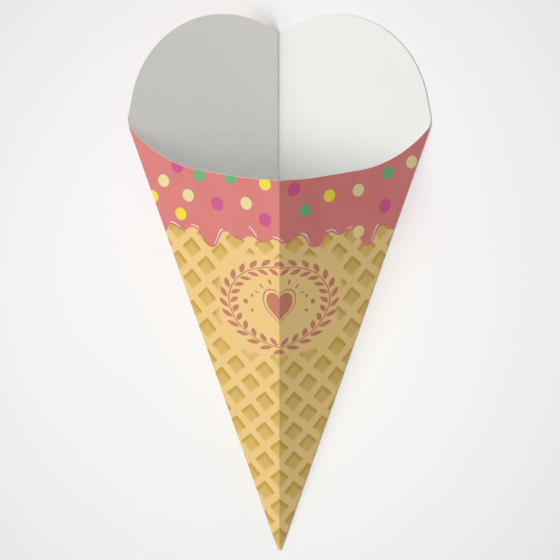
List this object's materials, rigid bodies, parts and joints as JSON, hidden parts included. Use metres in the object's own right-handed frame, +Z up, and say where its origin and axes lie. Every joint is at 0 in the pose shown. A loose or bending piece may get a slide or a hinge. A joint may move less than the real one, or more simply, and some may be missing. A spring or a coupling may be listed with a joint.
{
  "type": "bubble waffle paper cone",
  "caption": "Folded paper cone with a rhombic mouth, a scooped front rim and two tall rounded rear lobes, printed with a waffle grid and an icing drip, for a rolled bubble waffle.",
  "frame": {"origin": "under the middle of the lying cone, on the surface that it lies on", "axes": "the cone lies on its right rear panel: +Y is the way that its mouth faces, the point is towards -Y, +Z is up"},
  "size_m": [0.1168, 0.2458, 0.0657],
  "materials": {
    "printed_card": "matte"
  },
  "bodies": {
    "root": {"paper_cone": "printed_card"}
  },
  "joints": []
}
